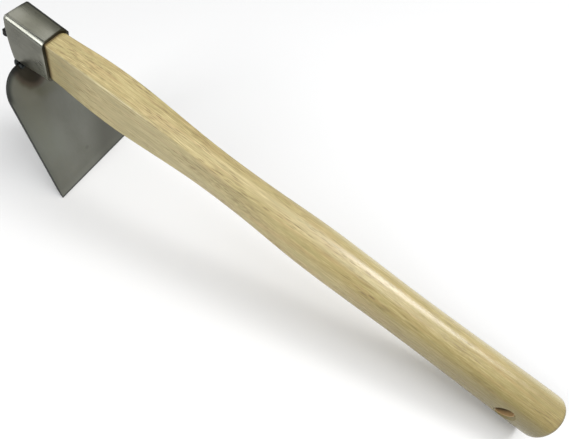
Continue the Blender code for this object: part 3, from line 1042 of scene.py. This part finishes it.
# Painted shade along the far bend, standing for a dark reflection, and a darker painted line along
# its edge
FAR_BEND_LEAN = 0.9
FAR_BEND_SHADE = (-0.0010, 0.0070, 0.0, 0.82)
FAR_BEND_SHADE_COLOUR = (0.060, 0.060, 0.046)
FAR_LINE_LEAN = 0.4
FAR_LINE = (0.0058, 0.0084, 0.0, 0.85)
FAR_LINE_SHADE = (0.025, 0.025, 0.018)
# Painted shade on the near side
NEAR_SIDE = (-0.0080, -0.0100, 0.0, 0.22)
NEAR_SIDE_SHADE = (0.060, 0.060, 0.052)
# Painted light on the near side's low corner by the mouth
LOW_CORNER_LEAN = 1.2
LOW_CORNER_CLOUDS = 0.012
LOW_CORNER = (0.0350, 0.0540)
LOW_CORNER_NEAR = (0.0, -0.004)
LOW_CORNER_SHARE = 0.85
LOW_CORNER_SHEEN = (0.480, 0.476, 0.400)
# Painted reflection on the top face: paler ends, darker middle
TOP_MIDDLE_X = 0.0145
TOP_FACE = (-0.0040, -0.0010)
TOP_ENDS = (0.0040, 0.0125)
TOP_ENDS_NEAR = (0.004, -0.002)
TOP_ENDS_SHARE = 0.28
TOP_ENDS_SHEEN = (0.330, 0.328, 0.290)
TOP_MIDDLE = (0.0080, 0.0010, 0.0, 0.25)
TOP_MIDDLE_SHADE = (0.085, 0.085, 0.062)
# Painted highlight: paler metal along the near bend, wider towards the mouth
HIGHLIGHT_WIDENING = 0.03
HIGHLIGHT_RAGGED = 0.0015
HIGHLIGHT_BEND = (0.0070, 0.0084)
HIGHLIGHT_SHARE = (0.006, 0.024, 0.68, 0.94)
NEAR_BEND_HIGHLIGHT = (0.248, 0.252, 0.222)
FAR_SIDE_BELOW = (-0.002, -0.006)
MOUTH_EDGE = (-0.0010, -0.0003)
MOUTH_EDGE_SHARE = 0.85
MOUTH_EDGE_DARK = (0.040, 0.036, 0.022)
COLLAR_ROUGHNESS = 0.30
CLOUD_DULLNESS = 0.18
BRUSHING_DULLNESS = 0.12
EDGE_DULLNESS = 0.25

# The blade's steel
BLADE_BRUSHING_WAVES = (300.0, 2400.0, 120.0)
BLADE_CLOUD_WAVES = (42.0, 42.0, 42.0)
BLADE_PALE = (0.262, 0.266, 0.234)
BLADE_DARK = (0.218, 0.221, 0.188)
# Painted light on the near half of the face
NEAR_HALF = (-0.002, -0.022)
NEAR_HALF_FROM = (0.000, 0.030)
NEAR_HALF_TO = (0.088, 0.050)
NEAR_HALF_SHARE = 0.62
NEAR_HALF_SHEEN = (0.345, 0.368, 0.332)
# Heat tint under the collar, darkened further as painted shade
HEAT_HALF_WIDTH = 0.0200
HEAT_LENGTH = 0.0190
HEAT_CLOUDS = 0.4
HEAT = (1.00, 0.68)
HEAT_SHARE = 0.95
HEAT_TINT_AND_SHADE = (0.036, 0.026, 0.019)
STRAW_SHARE = 0.45
HEAT_STRAW = (0.165, 0.105, 0.078)
RING_INSIDE = (0.85, 1.10)
RING_OUTSIDE = (1.60, 1.20)
RING_ASIDE = (0.006, 0.016, 0.05, 0.80)
RING_PALE = (0.345, 0.358, 0.322)
RING_BELOW = (0.013, 0.007, 0.0, 0.45)
RING_DARK = (0.170, 0.165, 0.105)
SIDE_NARROWING = 2.2
# Painted shade near the edges, at the far corner and at the neck
NEAR_EDGE_SHADE = (0.0130, 0.0010, 0.0, 0.26)
BLADE_CORNER_DOWN = 0.050
BLADE_CORNER_LEAN = 0.6
BLADE_CORNER_SHADE = (0.014, 0.040, 0.0, 0.95)
NECK_SHADE = (0.050, 0.014, 0.0, 0.28)
STEEL_SHADE = (0.150, 0.150, 0.128)
PIT_ASIDE = 0.0003
PIT_DOWN = 0.0768
PIT_SQUASH = 0.8
PIT = (0.0020, 0.0006, 0.0, 0.22)
PIT_DARK = (0.060, 0.058, 0.050)
DARK_LINE_AT_SIDE = (0.0010, 0.0003)
DARK_LINE_AT_EDGE = (0.0016, 0.0006)
SHOULDER_DOWN = (SHOULDER_RADIUS, SHOULDER_RADIUS * 0.7)
SHOULDER_OUT = (0.0, 0.002)
BLUED_RIM = (0.0046, 0.0008)
RIM_SHARE = 0.75
RIM_BLUED = (0.040, 0.045, 0.050)
CUT_NEAR_FACE = (0.00012, 0.0003)
CUT_FAR_FACE = (0.00168, 0.0015)
CUT_SHARE = 0.8
CUT_DARK = (0.035, 0.034, 0.030)
BLADE_ROUGHNESS = 0.38
BLADE_DULLNESS = 0.10


def brushed_steel(name, brushing_waves, cloud_waves, pale, dark):
    """Common ground of the two steels: brushing, cloudy tone and, in the relief, fine scratches."""
    steel = Finish(name, metallic=1.0)
    place = steel.own_place()
    brushing = steel.noise(place, brushing_waves, 4.0, 0.7)
    clouds = steel.noise(place, cloud_waves, 3.0, 0.55)
    tone = (clouds - 0.5) + (brushing - 0.5) * BRUSHING_SHARE + 0.5
    steel.colour = steel.blend(steel.smooth(tone, *STEEL_TONES), dark, pale)
    grit = steel.noise(place, GRIT_WAVES, 2.0)
    relief = steel.bump(
        brushing + grit * GRIT_SHARE, STEEL_RELIEF_DEPTH, STEEL_RELIEF_STRENGTH)
    return steel, steel.parts(place), brushing, clouds, relief


def paint_top(steel, x, y, z):
    """Painted reflection on the top face: paler at its two ends and darker in its middle."""
    from_middle = steel.unsigned(x - TOP_MIDDLE_X)
    top = steel.smooth(z, *TOP_FACE)
    ends = steel.smooth(from_middle, *TOP_ENDS) * top * steel.smooth(y, *TOP_ENDS_NEAR)
    steel.paint(ends * TOP_ENDS_SHARE, TOP_ENDS_SHEEN)
    steel.paint(steel.smooth(from_middle, *TOP_MIDDLE) * top, TOP_MIDDLE_SHADE)


def mouth_edge(steel, x, y, z):
    """Where the sheared edge of the mouth is, with its far corner that stands on."""
    far_side = (steel.smooth(y, FAR_CORNER_FROM, FAR_CORNER_FULL)
                * steel.smooth(z, *FAR_SIDE_BELOW))
    stands_on = far_side * (z * (1 / COLLAR_MOUTH_HEIGHT) + 1.0) * FAR_CORNER_STANDS_ON
    return steel.smooth(past_mouth(x, z) - stands_on, *MOUTH_EDGE)


def collar_steel():
    """Brushed sheet with painted reflections: shade along its far bend and its near side, light at
    its low near corner and the top's ends, shade in the top's middle, and a highlight along the
    near bend.
    """
    steel, (x, y, z), brushing, clouds, relief = brushed_steel(
        "collar_steel", COLLAR_BRUSHING_WAVES, COLLAR_CLOUD_WAVES, COLLAR_PALE, COLLAR_DARK)
    # painted shade along the far bend and its edge
    steel.paint(steel.smooth(y + z * FAR_BEND_LEAN, *FAR_BEND_SHADE), FAR_BEND_SHADE_COLOUR)
    steel.paint(steel.smooth(y + z * FAR_LINE_LEAN, *FAR_LINE), FAR_LINE_SHADE)
    # painted shade on the near side
    steel.paint(steel.smooth(y, *NEAR_SIDE), NEAR_SIDE_SHADE)
    # painted light on the near low corner
    low = x * LOW_CORNER_LEAN - z + (clouds - 0.5) * LOW_CORNER_CLOUDS
    low_corner = steel.smooth(low, *LOW_CORNER) * steel.smooth(y, *LOW_CORNER_NEAR)
    steel.paint(low_corner * LOW_CORNER_SHARE, LOW_CORNER_SHEEN)
    paint_top(steel, x, y, z)
    # painted highlight along the near bend
    bend = z - y + x * HIGHLIGHT_WIDENING + (brushing - 0.5) * HIGHLIGHT_RAGGED
    bend_highlight = steel.smooth(bend, *HIGHLIGHT_BEND) * steel.smooth(x, *HIGHLIGHT_SHARE)
    steel.paint(bend_highlight, NEAR_BEND_HIGHLIGHT)
    mouth = mouth_edge(steel, x, y, z)
    steel.paint(mouth * MOUTH_EDGE_SHARE, MOUTH_EDGE_DARK)
    roughness = ((clouds - 0.5) * CLOUD_DULLNESS + (brushing - 0.5) * BRUSHING_DULLNESS
                 + mouth * EDGE_DULLNESS + COLLAR_ROUGHNESS)
    return steel.done(roughness, relief)


def paint_heat_and_shade(steel, across, down, clouds):
    """The weld's heat tint under the collar, darkened further as painted shade from the collar,
    straw at its border, with a ring round it.
    """
    wide, deep = across * (1 / HEAT_HALF_WIDTH), down * (1 / HEAT_LENGTH)
    cubes = steel.stronger(wide * wide * wide + deep * deep * deep, 0.0)
    from_weld = steel.maths("POWER", cubes, 1 / 3) + (clouds - 0.5) * HEAT_CLOUDS
    ring = steel.smooth(from_weld, *RING_INSIDE) * steel.smooth(from_weld, *RING_OUTSIDE)
    steel.paint(ring * steel.smooth(across, *RING_ASIDE), RING_PALE)
    steel.paint(ring * steel.smooth(across, *RING_BELOW), RING_DARK)
    # heat tint and painted shade under the collar
    heat = steel.smooth(from_weld, *HEAT)
    steel.paint(heat * HEAT_SHARE, HEAT_TINT_AND_SHADE)
    steel.paint(heat * (1.0 - heat) * 4.0 * STRAW_SHARE, HEAT_STRAW)


def paint_rims(steel, across, down, inside):
    """A dark line along the straight sides and the edge, and the blued rim of the shoulders."""
    dark_line = steel.stronger(steel.smooth(inside, *DARK_LINE_AT_SIDE),
                          steel.smooth(BLADE_LENGTH - down, *DARK_LINE_AT_EDGE))
    past_flat = across - NECK_FLAT_WIDTH / 2
    round_off = SHOULDER_RADIUS - steel.distance(past_flat, down - SHOULDER_RADIUS)
    shoulder = steel.smooth(down, *SHOULDER_DOWN) * steel.smooth(past_flat, *SHOULDER_OUT)
    blued = shoulder * steel.smooth(round_off, *BLUED_RIM)
    steel.paint(steel.stronger(dark_line, blued) * RIM_SHARE, RIM_BLUED)


def paint_shade_and_pit(steel, y, down, inside):
    """Painted shade near the edges, at the far corner and at the neck, and one shallow pit."""
    to_edge = steel.maths("MINIMUM", inside * SIDE_NARROWING, BLADE_LENGTH - down)
    far_corner = steel.smooth(y + (down - BLADE_CORNER_DOWN) * BLADE_CORNER_LEAN, *BLADE_CORNER_SHADE)
    # painted shade near the edges, at the far corner and at the neck
    dull = steel.stronger(steel.smooth(to_edge, *NEAR_EDGE_SHADE), far_corner)
    steel.paint(steel.stronger(dull, steel.smooth(down, *NECK_SHADE)), STEEL_SHADE)
    from_pit = steel.distance(y * PIT_SQUASH - PIT_ASIDE, down - PIT_DOWN)
    steel.paint(steel.smooth(from_pit, *PIT), PIT_DARK)


def blade_steel():
    """Ground plate with the weld's heat tint, painted light and shade, one shallow pit, and dark
    rims and cut edges.
    """
    steel, (x, y, z), brushing, clouds, relief = brushed_steel(
        "blade_steel", BLADE_BRUSHING_WAVES, BLADE_CLOUD_WAVES, BLADE_PALE, BLADE_DARK)
    sine, cosine = math.sin(BLADE_LEAN), math.cos(BLADE_LEAN)
    down = (x - BLADE_TOP[0]) * sine - (z - BLADE_TOP[1]) * cosine
    depth = (x - BLADE_TOP[0]) * cosine + (z - BLADE_TOP[1]) * sine
    across = steel.unsigned(y)
    # painted light on the near half
    near_half = (steel.smooth(y, *NEAR_HALF) * steel.smooth(down, *NEAR_HALF_FROM)
                 * steel.smooth(down, *NEAR_HALF_TO))
    steel.paint(near_half * NEAR_HALF_SHARE, NEAR_HALF_SHEEN)
    paint_heat_and_shade(steel, across, down, clouds)
    inside = (BLADE_LENGTH - down) * -math.tan(side_lean()) + EDGE_WIDTH / 2 - across
    paint_shade_and_pit(steel, y, down, inside)
    paint_rims(steel, across, down, inside)
    cut = steel.smooth(depth, *CUT_NEAR_FACE) * steel.smooth(depth, *CUT_FAR_FACE)
    steel.paint(cut * CUT_SHARE, CUT_DARK)
    roughness = ((clouds - 0.5) * BLADE_DULLNESS + (brushing - 0.5) * BLADE_DULLNESS
                 + BLADE_ROUGHNESS)
    return steel.done(roughness, relief)


# Weld metal and black iron, both covered in scale

def scaly_metal(name, metallic, waves, noise, tones, colours, roughness, relief):
    """Metal under a crust of scale: noise is its detail and roughness, colours go dark to pale."""
    metal = Finish(name, metallic=metallic)
    scale = metal.noise(metal.own_place(), (waves, waves, waves), *noise)
    metal.colour = metal.blend(metal.smooth(scale, *tones), *colours)
    even, uneven = roughness
    return metal.done(scale * uneven + even, metal.bump(scale, *relief))


def weld_metal():
    return scaly_metal(
        "weld_metal", metallic=0.8, waves=700.0, noise=(4.0, 0.65), tones=(0.35, 0.70),
        colours=((0.018, 0.023, 0.025), (0.060, 0.066, 0.064)),
        roughness=(0.45, 0.3), relief=(0.00015, 0.5))


def black_iron():
    return scaly_metal(
        "black_iron", metallic=0.7, waves=520.0, noise=(5.0, 0.7), tones=(0.40, 0.75),
        colours=((0.010, 0.010, 0.010), (0.050, 0.045, 0.038)),
        roughness=(0.40, 0.4), relief=(0.0003, 0.7))


# Building the hoe

def build_hoe():
    hand_over(make_handle(), lacquered_wood(), "handle", 35)
    hand_over(make_collar(), collar_steel(), "collar", 50)
    hand_over(make_blade(), blade_steel(), "blade", 30)
    weld = weld_metal()
    for name, node, axis, reach in BEADS:
        hand_over(make_bead(name, axis, reach), weld, node, 60)
    hand_over(make_iron_wedge(), black_iron(), "wedge", 45)


# The studio

def add_floor():
    deselect_objects()
    bpy.ops.mesh.primitive_plane_add(size=FLOOR_SPAN)
    floor = bpy.context.active_object
    floor.name = "floor"
    paper = Finish("floor_paper", roughness=0.85, specular=0.2)
    paper.set("Base Color", (*FLOOR_PAPER, 1.0))
    floor.data.materials.append(paper.material)


def add_lamp(name, place, aim, size, watts):
    deselect_objects()
    bpy.ops.object.light_add(type="AREA", location=place)
    lamp = bpy.context.active_object
    lamp.name = name
    lamp.data.shape = "RECTANGLE"
    lamp.data.size, lamp.data.size_y = size
    lamp.data.energy = watts
    lamp.rotation_euler = (Vector(aim) - Vector(place)).to_track_quat("-Z", "Y").to_euler()


def add_camera():
    camera = bpy.data.cameras.new("camera")
    camera.sensor_width = SENSOR_WIDTH
    camera.lens = SENSOR_WIDTH * FOCAL_PIXELS / FRAME_WIDTH
    camera.shift_x = -CENTRE_OFFSET[0] / FRAME_WIDTH
    camera.shift_y = CENTRE_OFFSET[1] / FRAME_WIDTH
    camera.clip_start = 0.01
    seat = bpy.data.objects.new("camera", camera)
    bpy.context.scene.collection.objects.link(seat)
    seat.location = CAMERA_PLACE
    seat.rotation_euler = [math.radians(turn) for turn in CAMERA_TURN]
    bpy.context.scene.camera = seat


def light_studio():
    world = bpy.data.worlds.new("studio")
    world.use_nodes = True
    sky = world.node_tree.nodes["Background"]
    sky.inputs["Color"].default_value = SKY
    sky.inputs["Strength"].default_value = SKY_STRENGTH
    bpy.context.scene.world = world
    bpy.context.scene.view_settings.view_transform = "Standard"
    for lamp in LAMPS:
        add_lamp(*lamp)


build_hoe()
add_floor()
add_camera()
light_studio()
